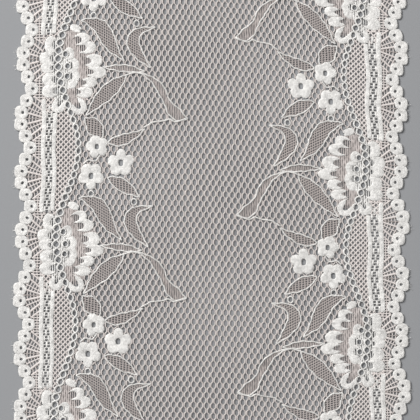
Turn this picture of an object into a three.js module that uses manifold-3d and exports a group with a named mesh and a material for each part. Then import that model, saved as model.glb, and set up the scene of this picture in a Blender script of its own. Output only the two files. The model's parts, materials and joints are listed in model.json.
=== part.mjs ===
// A cut length of stretch lace, lying flat on its back.
// The band runs along Y, and X is across it. Both edges are scalloped with small round loops.
// A spray of one large bloom, leaves and three small flowers repeats up each side of the open net,
// and the right side is the left one mirrored and slid along the band.
// The lace is knitted in one piece, so it is one solid: a thin ground with the closely worked motifs raised.
import * as THREE from "three";
import { mergeVertices } from "three/addons/utils/BufferGeometryUtils.js";
import Module from "manifold-3d";

// Driving dimensions, in millimetres.
const bandWidth = 150; // over the crests of both edges
const repeatLength = 67; // one spray to the next along a side
const repeatCount = 3; // repeats in the cut length
const rightSlide = -38.4; // the right sprays lie this far along Y from the left ones
const leftBloomY = 53.8; // one bloom of the left side, from the middle of the length
const heartInset = 17.9; // a bloom's heart, from the crests of its edge

// The stretch lets the band lie uneven: wider towards its lower end, and shorter towards its right side.
const flare = 0.021; // share by which the edges spread over the length
const middleFlare = 0.098; // share by which the middle spreads more than the edges
const middleFlarePower = 1.5; // how steeply that fades out towards the edges
const rightSqueeze = 0.0424; // share by which the right edge is shorter than the left
const squeezeCentreY = -34; // the shortening leaves the right edge in place here
const squeezePower = 3; // how steeply the shortening grows from the left edge to the right one

// Heights above the surface that the lace lies on.
const groundTop = 1.0;
const leafTop = 1.2;
const cordTop = 1.3;
const barTop = 1.4;
const ringTop = 1.5;
const smallFlowerTop = 1.55;
const bloomTop = 1.6;
const motifFoot = 0.4; // raised motifs start inside the ground

// Scalloped edge: loops on a wave, seen from the bloom's heart.
// Each loop reaches further out from its centre than in.
const ringOut = 3.0;
const ringIn = 2.1;
const ringHalfHeight = 2.6;
const ringSquareness = 3.2;
const ringsPerScallop = 5;
const scallopsPerRepeat = 3;
const scallopDepth = 3.68;
const scallopPower = 1.45;
const crestX = -15.12; // where the wave through the centres is furthest out
const troughY = 14.3; // centre of an innermost loop
const ringSides = 8;

// The two plain bars inside the edge, broken where the bloom crosses them.
const barTable = [
  { x: -7.05, width: 1.7, brokenAbove: 12.4, brokenBelow: -12.0 },
  { x: -3.0, width: 1.55, brokenAbove: 13.0, brokenBelow: -17.0 },
];

// The chain of eyelets beside the net: a wave along the band.
const chainMeanX = 2.15;
const chainSwing = 4.0;
const chainNearEdgeY = 3.0;
const chainWidth = 2.6;
const chainSteps = 12;

// The large bloom: an oval with a scalloped rim.
const bloom = { x: 4.0, y: -0.6, across: 23.2, along: 33.4, petals: 13, scallop: 0.09 };
const pointsPerBloomPetal = 4;

// The small flowers, each of five petals. turn is the direction of the first petal, in degrees, which has the
// deepest notches beside it. Notches are shares of the radius.
const smallFlowers = [
  { x: 13.2, y: -29.8, radius: 4.5, turn: -110 },
  { x: 22.5, y: -35.8, radius: 5.2, turn: 90 },
  { x: 11.2, y: -40.8, radius: 5.1, turn: -90 },
];
const flowerPetals = 5;
const pointsPerPetal = 4;
const petalNotch = 0.24;
const firstPetalNotch = 0.18;

// The leaves, stem and stalk. Each has a midrib that leaves its base towards the bend point and ends at the
// tip, moved aside by a wave of height sway, and a width that is fullest at widthAt, a share of the length.
const leafColumns = ["baseX", "baseY", "bendX", "bendY", "tipX", "tipY", "width", "widthAt", "sway"];
const leafRows = {
  upperLeaf: [23.2, 2.3, 17.6, 13.7, 6.5, 18.0, 5.9, 0.55, 1.2],
  curledLeaf: [32.2, -0.3, 19.3, 14.6, 34.0, 15.1, 4.9, 0.42, 0],
  lowerLeaf: [24.0, -3.2, 15.8, -9.8, 9.1, -17.9, 5.6, 0.42, 0],
  stem: [29.7, -1.5, 22.4, 0.2, 14.9, 0.2, 2.5, 0.5, 0],
  stalk: [28.2, -2.0, 37.6, -4.8, 39.2, -14.5, 2.5, 0.55, 0],
  blade: [37.6, -7.4, 41.1, -19.2, 47.6, -19.4, 4.4, 0.62, 0],
  middleLeaf: [17.4, -28.0, 24.0, -28.3, 31.4, -23.4, 3.9, 0.4, 0],
  shortLeaf: [8.4, -18.9, 12.9, -22.0, 14.9, -27.1, 6.0, 0.5, 0],
  endLeaf: [17.4, -41.3, 24.0, -44.1, 29.8, -48.4, 4.6, 0.45, 0],
};
const leaves = Object.values(leafRows).map((row) =>
  Object.fromEntries(leafColumns.map((column, i) => [column, row[i]])),
);
const leafStations = 6;

// The cut at both ends follows the lie of the band in short steps, and reaches past it by a margin.
const cutSteps = 12;
const cutMargin = 5;

const bandLength = repeatLength * repeatCount;
const ringPitch = repeatLength / (ringsPerScallop * scallopsPerRepeat);
const heartX = -bandWidth / 2 + heartInset; // a left bloom's heart, from the band's middle line
const sides = [
  { mirror: 1, firstY: leftBloomY },
  { mirror: -1, firstY: leftBloomY + rightSlide },
];

const wasm = await Module();
wasm.setup();

// A closed three.js geometry as a solid that can be joined and cut.
function solidOf(geometry) {
  geometry.deleteAttribute("normal");
  geometry.deleteAttribute("uv");
  const merged = mergeVertices(geometry);
  const mesh = new wasm.Mesh({
    numProp: 3,
    vertProperties: merged.attributes.position.array,
    triVerts: new Uint32Array(merged.index.array),
  });
  return new wasm.Manifold(mesh);
}

// An upright prism on an outline in the plane, from one height to another.
function prism(outline, bottom, top) {
  const straightUp = { depth: top - bottom, bevelEnabled: false };
  const geometry = new THREE.ExtrudeGeometry(new THREE.Shape(outline), straightUp);
  geometry.translate(0, 0, bottom);
  return solidOf(geometry);
}

// A hump over 0 to 1 that is 0 at both ends and 1 at peak: half a sine on a warped scale.
function hump(share, peak) {
  return Math.sin(Math.PI * share ** (Math.log(0.5) / Math.log(peak)));
}

// A leaf's outline in the spray's own frame: out along one edge and back along the other.
function leafOutline(leaf) {
  const base = new THREE.Vector2(leaf.baseX, leaf.baseY);
  const bend = new THREE.Vector2(leaf.bendX, leaf.bendY);
  const tip = new THREE.Vector2(leaf.tipX, leaf.tipY);
  const midrib = new THREE.QuadraticBezierCurve(base, bend, tip);
  const edgePoint = (share, hand) => {
    const along = midrib.getTangent(share);
    const across = new THREE.Vector2(-along.y, along.x);
    const half = (leaf.width * hump(share, leaf.widthAt)) / 2;
    const offset = leaf.sway * Math.sin(2 * Math.PI * share) + hand * half;
    return midrib.getPoint(share).addScaledVector(across, offset);
  };
  const shares = Array.from({ length: leafStations - 1 }, (_, i) => (i + 1) / leafStations);
  return [
    base,
    ...shares.map((share) => edgePoint(share, -1)),
    tip,
    ...shares.reverse().map((share) => edgePoint(share, 1)),
  ];
}

// A closed outline of round petals: the radius follows rectified cosine arches, one for each petal.
// firstNotch deepens the notches on the first petal's side.
function petalOutline(x, y, radiusX, radiusY, petals, notch, firstNotch, turn, pointsEach) {
  return Array.from({ length: petals * pointsEach }, (_, i) => {
    const angle = (2 * Math.PI * i) / (petals * pointsEach);
    const arch = Math.abs(Math.cos((petals * angle) / 2));
    const depth = notch + firstNotch * Math.sqrt(Math.max(Math.cos(angle), 0));
    const reach = 1 - depth * (1 - arch);
    const direction = angle + turn;
    const stepX = radiusX * reach * Math.cos(direction);
    const stepY = radiusY * reach * Math.sin(direction);
    return new THREE.Vector2(x + stepX, y + stepY);
  });
}

function bloomOutline() {
  return petalOutline(
    bloom.x,
    bloom.y,
    bloom.across / 2,
    bloom.along / 2,
    bloom.petals,
    2 * bloom.scallop,
    0,
    0,
    pointsPerBloomPetal,
  );
}

function smallFlowerOutline({ x, y, radius, turn }) {
  return petalOutline(
    x,
    y,
    radius,
    radius,
    flowerPetals,
    petalNotch,
    firstPetalNotch,
    THREE.MathUtils.degToRad(turn),
    pointsPerPetal,
  );
}

// A stretch of bar between two places along the spray.
function barOutline(bar, fromY, toY) {
  const half = bar.width / 2;
  return [
    new THREE.Vector2(bar.x - half, fromY),
    new THREE.Vector2(bar.x + half, fromY),
    new THREE.Vector2(bar.x + half, toY),
    new THREE.Vector2(bar.x - half, toY),
  ];
}

// One repeat of the eyelet chain as a wavy ribbon, a little longer than the repeat so that repeats join.
function chainOutline() {
  const overlap = 0.2;
  const edge = (hand) =>
    Array.from({ length: chainSteps + 1 }, (_, i) => {
      const y = (i / chainSteps - 0.5) * (repeatLength + overlap);
      const swing = Math.cos((2 * Math.PI * (y - chainNearEdgeY)) / repeatLength);
      return new THREE.Vector2(chainMeanX - chainSwing * swing + (hand * chainWidth) / 2, y);
    });
  return [...edge(1), ...edge(-1).reverse()];
}

// How far an edge loop's centre stands in from the crest, by its number within the scallop.
function ringInset(index) {
  return scallopDepth * (1 - Math.sin((Math.PI * index) / ringsPerScallop) ** scallopPower);
}

// The loops' centres over the whole length of one side, in the spray's own frame.
function ringCentres() {
  const reach = Math.ceil(bandLength / ringPitch);
  return Array.from({ length: 2 * reach + 1 }, (_, i) => {
    const number = i - reach;
    const inScallop = ((number % ringsPerScallop) + ringsPerScallop) % ringsPerScallop;
    return new THREE.Vector2(crestX + ringInset(inScallop), troughY + number * ringPitch);
  });
}

// Distance from a loop's centre to its rim, by angle from the band's outward direction: a squared oval
// outwards, so that neighbours merge, and a plain oval inwards.
function ringReach(angle) {
  const outwards = Math.cos(angle) > 0;
  const wide = outwards ? ringOut : ringIn;
  const power = outwards ? ringSquareness : 2;
  const across = Math.abs(Math.cos(angle) / wide) ** power;
  const along = Math.abs(Math.sin(angle) / ringHalfHeight) ** power;
  return (across + along) ** (-1 / power);
}

function ringOutline(centre) {
  return Array.from({ length: ringSides }, (_, i) => {
    const angle = (2 * Math.PI * i) / ringSides;
    const step = new THREE.Vector2(-Math.cos(angle), Math.sin(angle));
    return centre.clone().addScaledVector(step, ringReach(angle));
  });
}

// Where a point of the even band comes to lie.
function lie(point) {
  const place = THREE.MathUtils.clamp((2 * point.x) / bandWidth, -1, 1);
  const spread = flare + middleFlare * (1 - place ** 2) ** middleFlarePower;
  const rightness = ((1 + place) / 2) ** squeezePower;
  return new THREE.Vector2(
    point.x * (1 - (spread * point.y) / bandLength),
    point.y - rightSqueeze * rightness * (point.y - squeezeCentreY * rightness),
  );
}

// Moves outline points from a spray's own frame to the band's, as it lies.
function onBand(points, side, slide) {
  return points.map((p) => lie(new THREE.Vector2(side.mirror * (p.x + heartX), p.y + side.firstY + slide)));
}

// The cut length: both ends are cut straight across before the band is laid.
function cutOutline() {
  const reach = bandWidth / 2 + cutMargin;
  const acrossAt = (i) => reach * ((2 * i) / cutSteps - 1);
  const end = (y) => Array.from({ length: cutSteps + 1 }, (_, i) => lie(new THREE.Vector2(acrossAt(i), y)));
  return [...end(-bandLength / 2), ...end(bandLength / 2).reverse()];
}

// The raised motifs of one spray, as [outline, foot, top].
function sprayMotifs() {
  const joinUp = 0.1;
  const bars = barTable.map((bar) => [
    barOutline(bar, bar.brokenAbove, bar.brokenBelow + repeatLength + joinUp),
    motifFoot,
    barTop,
  ]);
  return [
    ...leaves.map((leaf) => [leafOutline(leaf), motifFoot, leafTop]),
    [chainOutline(), motifFoot, cordTop],
    ...bars,
    ...smallFlowers.map((flower) => [smallFlowerOutline(flower), motifFoot, smallFlowerTop]),
    [bloomOutline(), motifFoot, bloomTop],
  ];
}

// The ground between the two lines of edge loops.
function groundOutline() {
  const [left, right] = sides.map((side) => onBand(ringCentres(), side, 0));
  return [...right, ...left.reverse()];
}

function laceBand() {
  const halfLength = bandLength / 2;
  const slides = Array.from({ length: 2 * repeatCount + 1 }, (_, i) => (i - repeatCount) * repeatLength);
  const touchesLength = (points) => points.some((p) => Math.abs(p.y) < halfLength);
  let lace = prism(groundOutline(), 0, groundTop);
  for (const side of sides) {
    for (const ring of ringCentres()) {
      const outline = onBand(ringOutline(ring), side, 0);
      if (touchesLength(outline)) lace = lace.add(prism(outline, 0, ringTop));
    }
    for (const slide of slides) {
      for (const [points, foot, top] of sprayMotifs()) {
        const outline = onBand(points, side, slide);
        if (touchesLength(outline)) lace = lace.add(prism(outline, foot, top));
      }
    }
  }
  return lace.intersect(prism(cutOutline(), -cutMargin, bloomTop + cutMargin));
}

// A joined solid as a geometry.
function geometryOf(solid) {
  const { vertProperties, triVerts, numProp, numVert } = solid.getMesh();
  const positions = new Float32Array(3 * numVert);
  for (let i = 0; i < numVert; i += 1) {
    positions.set(vertProperties.subarray(i * numProp, i * numProp + 3), 3 * i);
  }
  const geometry = new THREE.BufferGeometry();
  geometry.setAttribute("position", new THREE.BufferAttribute(positions, 3));
  geometry.setIndex(new THREE.BufferAttribute(triVerts, 1));
  geometry.computeVertexNormals();
  return geometry;
}

const laceYarn = new THREE.MeshStandardMaterial({ color: 0xeeebe6, roughness: 0.75, metalness: 0 });
const lace = new THREE.Mesh(geometryOf(laceBand()), laceYarn);
lace.name = "lace_band";

const part = new THREE.Group();
part.add(lace);

export default part;
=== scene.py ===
"""A cut length of stretch lace, lying flat: net, leaves, blooms, eyelet chains and scalloped edges."""

import json

import bmesh
import bpy
import numpy as np
from bpy.props import FloatProperty, FloatVectorProperty, PointerProperty
from bpy.types import Operator, Panel, PropertyGroup
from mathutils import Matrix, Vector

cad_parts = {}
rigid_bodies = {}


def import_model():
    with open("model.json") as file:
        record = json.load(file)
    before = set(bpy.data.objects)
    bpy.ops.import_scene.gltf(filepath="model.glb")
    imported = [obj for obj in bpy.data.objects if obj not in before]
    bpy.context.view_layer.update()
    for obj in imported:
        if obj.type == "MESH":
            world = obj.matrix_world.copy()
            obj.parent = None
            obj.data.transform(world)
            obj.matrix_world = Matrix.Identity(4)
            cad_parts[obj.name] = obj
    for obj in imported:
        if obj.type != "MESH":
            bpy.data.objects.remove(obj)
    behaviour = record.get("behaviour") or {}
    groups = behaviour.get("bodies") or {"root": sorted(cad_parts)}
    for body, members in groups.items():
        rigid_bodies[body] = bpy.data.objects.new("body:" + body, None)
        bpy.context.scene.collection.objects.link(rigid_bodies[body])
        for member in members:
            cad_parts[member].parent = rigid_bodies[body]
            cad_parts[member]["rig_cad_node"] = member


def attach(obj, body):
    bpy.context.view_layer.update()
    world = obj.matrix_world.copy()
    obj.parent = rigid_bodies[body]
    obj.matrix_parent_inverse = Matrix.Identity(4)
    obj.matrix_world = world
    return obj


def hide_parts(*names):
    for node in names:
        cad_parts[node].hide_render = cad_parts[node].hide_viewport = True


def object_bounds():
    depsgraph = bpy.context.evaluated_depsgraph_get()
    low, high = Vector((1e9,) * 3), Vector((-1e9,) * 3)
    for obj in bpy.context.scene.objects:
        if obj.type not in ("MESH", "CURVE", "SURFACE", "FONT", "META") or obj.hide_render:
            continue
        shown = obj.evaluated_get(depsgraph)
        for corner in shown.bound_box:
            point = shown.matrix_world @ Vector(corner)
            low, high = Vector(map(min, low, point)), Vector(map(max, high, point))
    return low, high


bl_info = {
    "name": "Stretch lace band",
    "version": (1, 0, 0),
    "blender": (4, 5, 0),
    "location": "3D View > Sidebar > Lace",
    "description": "Knits a flat cut length of floral stretch lace, strand by strand",
    "category": "Add Mesh",
}

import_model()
CAD_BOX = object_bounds()
NODE = "lace_band"
MM = 0.001
TURN = 2 * np.pi
SEED = 41

# Places in a spray's own frame, in millimetres: u runs from the bloom's heart to the middle of the band,
# and v runs up the band. The right side is the left one mirrored and slid along the band.
HEART_INSET = 17.9

# The scalloped edge: loops on a wave, five to a scallop. Each reaches further out from its hole than in. The
# edge sways by EDGE_SWAY, furthest in beside each bloom, at EDGE_SWAY_V.
LOOP_OUT = 3.0
LOOP_IN = 2.1
LOOP_HALF_HEIGHT = 2.44
LOOP_HEIGHT_LEAN = 0.17
LOOP_LEAN_STEEPNESS = 3
LOOP_SQUARENESS = 3.2
PLAIN_OVAL = 2.0
LOOP_HOLE = 0.55
LOOPS_PER_SCALLOP = 5
SCALLOPS_PER_REPEAT = 3
LOOPS_PER_REPEAT = LOOPS_PER_SCALLOP * SCALLOPS_PER_REPEAT
SCALLOP_DEPTH = 3.68
SCALLOP_POWER = 1.45
CREST_U = -14.97
TROUGH_V = 14.55
EDGE_SWAY = 0.33
EDGE_SWAY_V = 6.5

# The two plain bars, outer and inner, each broken where the bloom crosses it, and the ladder between them.
BAR_COLUMNS = ("u", "width", "broken_above", "broken_below")
BAR_ROWS = (
    (-7.05, 1.7, 12.4, -12.0),
    (-3.0, 1.55, 13.0, -17.0),
)
OUTER_BAR_U, INNER_BAR_U = (row[0] for row in BAR_ROWS)
BAR_SWAY = 0.28
LADDER_U = (OUTER_BAR_U + INNER_BAR_U) / 2
LADDER_COURSE = 4.5

# The eyelet chain: two cords that cross between eyelets, on a wave along the band.
CHAIN_MEAN_U = 2.15
CHAIN_SWING = 4.0
CHAIN_NEAR_EDGE_V = 3.0
EYELET_V = 3.6
EYELETS_PER_REPEAT = 23
EYELET_HALF_WIDTH = 1.15

# Leaves, stem and stalk: a midrib that leaves its base towards the bend point and ends at the tip, moved
# aside by a wave of height sway, and a width that is fullest at width_at, a share of the length.
LEAF_COLUMNS = (
    "base_u", "base_v", "bend_u", "bend_v", "tip_u", "tip_v", "width", "width_at", "sway", "fill",
)
LEAVES = {
    "upper": (23.2, 2.3, 17.6, 13.7, 6.5, 18.0, 5.9, 0.55, 1.2, "close"),
    "curled": (33.2, -0.2, 18.6, 13.6, 34.8, 15.0, 4.7, 0.43, 0, "close"),
    "lower": (24.0, -3.2, 15.8, -9.8, 9.1, -17.9, 5.6, 0.42, 0, "close"),
    "middle": (17.4, -28.0, 24.0, -28.3, 31.4, -23.4, 3.9, 0.40, 0, "open"),
    "short": (8.4, -18.9, 12.9, -22.0, 14.9, -27.1, 6.0, 0.50, 0, "open"),
    "end": (17.4, -41.3, 24.0, -44.1, 29.8, -48.4, 4.6, 0.45, 0, "open"),
    "stem": (30.8, -1.7, 22.4, 0.2, 14.9, 0.2, 2.5, 0.44, 0, "stripes"),
    "stalk": (28.2, -2.0, 38.6, -4.8, 40.2, -17.2, 3.0, 0.62, 0, "stripes"),
    "blade": (38.0, -8.4, 41.1, -19.2, 47.6, -19.4, 4.4, 0.60, 0, "stripes"),
}

# The yarns inside a leaf: columns along the band, and rows across them that fall by row_slope towards the
# band's middle. A row pitch of 0 leaves the rows out.
FILL_COLUMNS = ("column_pitch", "column_width", "row_pitch", "row_width", "row_slope")
LEAF_FILLS = {
    "close": (0.855, 0.40, 1.0, 0.40, -0.55),
    "open": (1.15, 0.52, 0.85, 0.34, -0.2),
    "stripes": (0.66, 0.44, 0.0, 0.0, 0.0),
}

# The bloom: petals like shells, each with a closely knitted rim round a sheer inside. The rim is cap thick
# over the tip and arm thick along the sides, and runs out towards the base.
PETAL_COLUMNS = ("base_u", "base_v", "tip_u", "tip_v", "width", "cap", "arm")
PETALS = {
    "right 1": (7.5, 13.8, 2.5, 15.9, 2.9, 4.2, 1.2),
    "right 2": (2.8, 9.8, 9.8, 11.8, 4.7, 3.1, 1.1),
    "right 3": (4.0, 7.2, 12.4, 8.1, 4.8, 3.7, 1.2),
    "right 4": (6.6, 2.7, 14.9, 2.7, 5.4, 4.4, 1.6),
    "right 5": (7.3, -1.3, 16.6, -1.8, 4.6, 5.0, 1.4),
    "right 6": (6.0, -5.6, 13.1, -5.4, 4.1, 4.1, 1.3),
    "right 7": (3.9, -8.8, 11.7, -9.4, 4.3, 4.6, 1.5),
    "right 8": (3.1, -10.6, 8.2, -17.0, 6.1, 2.3, 2.0),
    "inner 1": (-0.3, 5.2, 4.3, 5.6, 4.8, 2.0, 1.2),
    "inner 2": (0.5, 0.9, 6.4, 1.2, 5.0, 2.6, 1.2),
    "inner 3": (0.5, -3.1, 6.6, -2.8, 5.0, 2.7, 1.2),
    "inner 4": (5.8, -3.9, 2.4, -7.5, 2.9, 4.2, 1.3),
    "left 1": (-1.3, 8.6, -7.0, 9.0, 6.7, 3.1, 1.7),
    "left 2": (-2.2, 3.7, -9.0, 3.7, 5.2, 4.2, 1.4),
    "left 3": (-2.2, 0.1, -8.4, 0.2, 4.2, 3.7, 1.3),
    "left 4": (-1.3, -4.1, -7.9, -4.4, 5.4, 3.9, 1.4),
    "left 5": (-0.5, -8.4, -8.0, -8.8, 5.1, 4.3, 1.4),
    "left 6": (0.0, -10.6, -2.5, -16.8, 5.3, 2.5, 2.0),
}
PETAL_TAPER = 0.25
SHELL_WIDEST = 0.862
RIM_AT_BASE = 0.25
RIM_REACH = 0.78 * np.pi
RIM_FADE = 0.9
RIM_END = 0.15
BLOOM_HEART = (3.2, -0.6)
BLOOM_REACH = (9.4, 14.8)
BLOOM_EYELETS = ((0.9, 5.3), (1.75, 0.8), (1.6, -3.0))
BLOOM_EYELET_RADIUS = 1.08
BRIGHT_HEART = (1.0, -0.8)
BRIGHT_REACH = (4.4, 7.2)

# Small flowers of five petals with an oblong eye. turn is the direction of the first petal, in degrees, which
# has the deepest notches beside it. The eye's half sizes are those in a flower of FULL_EYE_RADIUS.
FLOWER_COLUMNS = ("u", "v", "radius", "turn")
SMALL_FLOWERS = (
    (13.2, -29.8, 4.5, -110),
    (22.5, -35.8, 5.2, 90),
    (11.2, -40.8, 5.1, -90),
)
FLOWER_PETALS = 5
PETAL_NOTCH = 0.24
FIRST_PETAL_NOTCH = 0.18
PETAL_ROUNDNESS = 0.7
FULL_EYE_RADIUS = 5.2
EYE_HALF_WIDTH = 0.85
EYE_HALF_HEIGHT = 1.15

# The bright cord that runs on from the blade's tip, the one that ties the lower leaf to the stalk, the one
# between two flowers, and two small rings, as (u, v).
LOOSE_CORDS = {
    "tail": (
        (47.4, -19.3), (43.1, -20.8), (40.8, -19.8), (38.5, -20.4),
        (34.3, -20.8), (32.8, -21.7), (30.9, -22.7),
    ),
    "join": ((23.4, -3.0), (25.2, -2.5), (27.2, -2.1), (29.0, -2.3), (30.6, -3.0)),
    "tie": (
        (14.4, -33.0), (13.4, -34.5), (12.7, -35.2), (11.3, -35.1),
        (10.2, -34.8), (9.3, -35.2), (8.1, -36.3),
    ),
}
SMALL_RINGS = ((27.6, 16.7), (11.2, -47.4))
SMALL_RING_RADIUS = 1.05

# The box round one spray, as its least and most u and v, how far along the band a spray reaches from its
# heart, and the distance from every motif that points outside the box are given.
SPRAY_BOX = (-12.0, 52.0, -54.0, 22.0)
SPRAY_REACH = 55.0
FAR_OUTSIDE = 10.0

# The shortening towards the right side: where along the right edge it leaves it in place, and how steeply it
# grows across the band.
SQUEEZE_CENTRE_Y = -34.0
SQUEEZE_POWER = 3

# The right ladder lies stretched: its bars stand this much further out and in than those on the left.
RIGHT_LADDER_STRETCH = 0.25
RIGHT_LADDER_REACH = 5.0

# The right sprays rise towards the middle of the band, by a share of the way past RISE_FROM_U.
RIGHT_RISE = 0.06
RISE_FROM_U = 15.0

# The middle flare and stretch fall to nothing at the edges by this power. The stretch is a share of the way
# along the band from a line that crosses it at a slant, MIDDLE_SLANT lower at the right edge.
MIDDLE_FLARE_POWER = 1.5
MIDDLE_STRETCH = 0.025
MIDDLE_SLANT = 50.0

# Slow waves in how the band lies. across and along are the lengths of one radian in those directions.
WAVE_COLUMNS = ("height", "across", "along", "start")
DRIFT_ACROSS = (
    (0.10, 9.7, 14.3, 0.0),
    (0.07, -17.0, 5.1, 0.0),
    (0.035, 1.9, 2.7, 0.0),
    (0.03, -2.3, 1.3, 0.0),
)
DRIFT_ALONG = (
    (0.10, 12.1, -10.3, 1.0),
    (0.05, 3.1, 4.7, 0.0),
)
LIFT = (
    (0.06, 13.0, 19.0, 0.0),
    (0.06, -23.0, 11.0, 2.0),
)
LIFT_MEAN = 0.12

# Heights of the strands' centres above the floor. Every other column of a net lies higher by the stagger.
NET_Z = 0.32
NET_STAGGER = 0.04
CORD_Z = 0.5

# How far past the cut length strands are kept, for the cut to take off, and how far they are laid out before.
# Points closer than the tolerance to the cut count as on it.
END_MARGIN = 1.0
KNIT_MARGIN = 2.0
CUT_TOLERANCE = 1e-6

# How far from a chain's middle line the nets stop, as shares of the eyelets' half width.
NET_AT_CHAIN = 0.8
SIDE_NET_AT_CHAIN = 0.7

# The yarns' finish. Scales are noise cells to a metre, and the depth is in metres. The balance keeps the mean
# tone where the painted shade between stitches darkens it.
FIBRE_SCALE = 9000.0
FIBRE_DETAIL = 3.0
PATCH_SCALE = 420.0
PATCH_DETAIL = 2.0
# Painted shade: how much the yarn's colour darkens with the distance from the nearest stitch, so the gaps
# between stitches look shaded.
STITCH_GAP_PAINTED_SHADE = -0.7
TONE_BALANCE = 0.25
LEAST_ROUGHNESS = 0.6
MOST_ROUGHNESS = 0.85
SHEEN = 0.15
SHEEN_ROUGHNESS = 0.5
SPECULAR = 0.3
RELIEF_DEPTH = 0.0002


class LaceSizes(PropertyGroup):
    """Sizes that a user would change."""

    band_width: FloatProperty(
        name="Band width", description="Over the crests of both edges", default=0.150, unit="LENGTH"
    )
    band_length: FloatProperty(
        name="Cut length",
        description="Length of the cut piece along the band",
        default=CAD_BOX[1].y - CAD_BOX[0].y,
        unit="LENGTH",
    )
    repeat_length: FloatProperty(
        name="Repeat", description="One spray to the next along a side", default=0.067, unit="LENGTH"
    )
    right_slide: FloatProperty(
        name="Right side slide",
        description="How far the right sprays lie along the band from the left ones",
        default=-0.0384,
        unit="LENGTH",
    )
    left_bloom: FloatProperty(
        name="Left bloom", description="Place of one left bloom along the band", default=0.0538, unit="LENGTH"
    )
    flare: FloatProperty(
        name="Flare",
        description="Share by which the edges spread along the length",
        default=0.021,
        subtype="FACTOR",
    )
    middle_flare: FloatProperty(
        name="Middle flare",
        description="Share by which the middle of the net spreads more than the edges",
        default=0.098,
        subtype="FACTOR",
    )
    right_squeeze: FloatProperty(
        name="Right squeeze",
        description="Share by which the right edge lies shorter than the left",
        default=0.0424,
        subtype="FACTOR",
    )
    net_pitch: FloatProperty(
        name="Net pitch", description="Between columns of the open net", default=0.00119, unit="LENGTH"
    )
    net_course: FloatProperty(
        name="Net course", description="One gap and one join of the net", default=0.004, unit="LENGTH"
    )
    net_strand: FloatProperty(
        name="Net strand", description="Width of one strand of the open net", default=0.00043, unit="LENGTH"
    )
    cord_width: FloatProperty(
        name="Cord width", description="Cords round leaves and eyelets", default=0.00058, unit="LENGTH"
    )


class LaceColours(PropertyGroup):
    """Yarn and floor colours."""

    dense: FloatVectorProperty(
        name="Dense yarn", description="Closely knitted petals, bars and loops", subtype="COLOR",
        default=(0.90, 0.88, 0.85),
    )
    net: FloatVectorProperty(
        name="Net yarn", description="Strands of the open nets", subtype="COLOR", default=(0.77, 0.71, 0.68)
    )
    sheer: FloatVectorProperty(
        name="Sheer yarn", description="Fine yarn inside leaves", subtype="COLOR", default=(0.49, 0.44, 0.42)
    )
    veil: FloatVectorProperty(
        name="Veil yarn", description="Fine yarn inside blooms", subtype="COLOR", default=(0.56, 0.503, 0.48)
    )
    floor: FloatVectorProperty(
        name="Floor", description="Plain floor under the lace", subtype="COLOR", default=(0.31, 0.315, 0.325)
    )


def sizes():
    """The size properties, in millimetres where they are lengths, and the x of the left blooms' hearts."""
    held = bpy.context.scene.lace_sizes
    found = {}
    for name in LaceSizes.__annotations__:
        is_length = held.bl_rna.properties[name].unit == "LENGTH"
        found[name] = getattr(held, name) / (MM if is_length else 1)
    found["heart_x"] = -found["band_width"] / 2 + HEART_INSET
    return found


def hump(share, peak):
    """Half a sine over 0 to 1 on a warped scale: 0 at both ends, and 1 where share is peak."""
    return np.sin(np.pi * np.clip(share, 0, 1) ** (np.log(0.5) / np.log(peak)))


def named(columns, row):
    """A table row as a dictionary by column name."""
    return dict(zip(columns, row))


def petal_shells(row):
    """A petal's unit axis, then the petal and its sheer inside, each as (base, length, half width)."""
    petal = named(PETAL_COLUMNS, row)
    base = np.array((petal["base_u"], petal["base_v"]))
    axis = np.array((petal["tip_u"], petal["tip_v"])) - base
    length = np.hypot(*axis)
    axis = axis / length
    half = petal["width"] / 2
    inside = (base + RIM_AT_BASE * axis, length - petal["cap"] - RIM_AT_BASE, half - petal["arm"])
    return axis, (base, length, half), inside


def petal_rims(row, angle):
    """A petal's rim and the edge of its sheer inside, as rows of points by angle from the tip.

    Both are shells: an oval narrowed towards the base by a root of the place along the axis. The inner one is
    shorter by the cap, and narrower by an arm on each side. It meets the outer one where the arms run out.
    """
    axis, *shells = petal_shells(row)
    across = np.array((-axis[1], axis[0]))
    along = (1 + np.cos(angle)) / 2
    side = np.sin(angle) * along**PETAL_TAPER / SHELL_WIDEST
    rim, inside = (
        base + np.outer(length * along, axis) + np.outer(half * side, across) for base, length, half in shells
    )
    full = np.clip((RIM_REACH - np.abs(angle)) / RIM_FADE, RIM_END, 1)[:, None]
    return rim, rim + (inside - rim) * full


def petal_field(row, u, v, sheer=False):
    """How far a point is outside a petal or its sheer inside: across the axis, or along it past an end."""
    axis, whole, inside = petal_shells(row)
    base, length, half = inside if sheer else whole
    along = ((u - base[0]) * axis[0] + (v - base[1]) * axis[1]) / length
    across = np.abs((v - base[1]) * axis[0] - (u - base[0]) * axis[1])
    share = np.clip(along, 0, 1)
    reach = half * 2 * np.sqrt(share * (1 - share)) * share**PETAL_TAPER / SHELL_WIDEST
    return np.maximum(across - reach, np.maximum(-along, along - 1) * length)


def midrib(row, share):
    """A leaf's midrib at shares of its length, with unit normals.

    It is the quadratic curve of base, bend and tip, moved along its normal by one sine wave of height sway.
    """
    leaf = named(LEAF_COLUMNS, row)
    base = np.array((leaf["base_u"], leaf["base_v"]))
    bend = np.array((leaf["bend_u"], leaf["bend_v"]))
    tip = np.array((leaf["tip_u"], leaf["tip_v"]))
    s = share[:, None]
    points = (1 - s) ** 2 * base + 2 * s * (1 - s) * bend + s**2 * tip
    tangent = (1 - s) * (bend - base) + s * (tip - bend)
    normal = np.column_stack((-tangent[:, 1], tangent[:, 0])) / np.linalg.norm(tangent, axis=1)[:, None]
    return points + leaf["sway"] * np.sin(TURN * s) * normal, normal


def leaf_edge(row, share, hand):
    """One edge of a leaf: its midrib moved along the normal by half a hump of its width."""
    leaf = named(LEAF_COLUMNS, row)
    points, normal = midrib(row, share)
    return points + hand * normal * (leaf["width"] / 2 * hump(share, leaf["width_at"]))[:, None]


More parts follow.
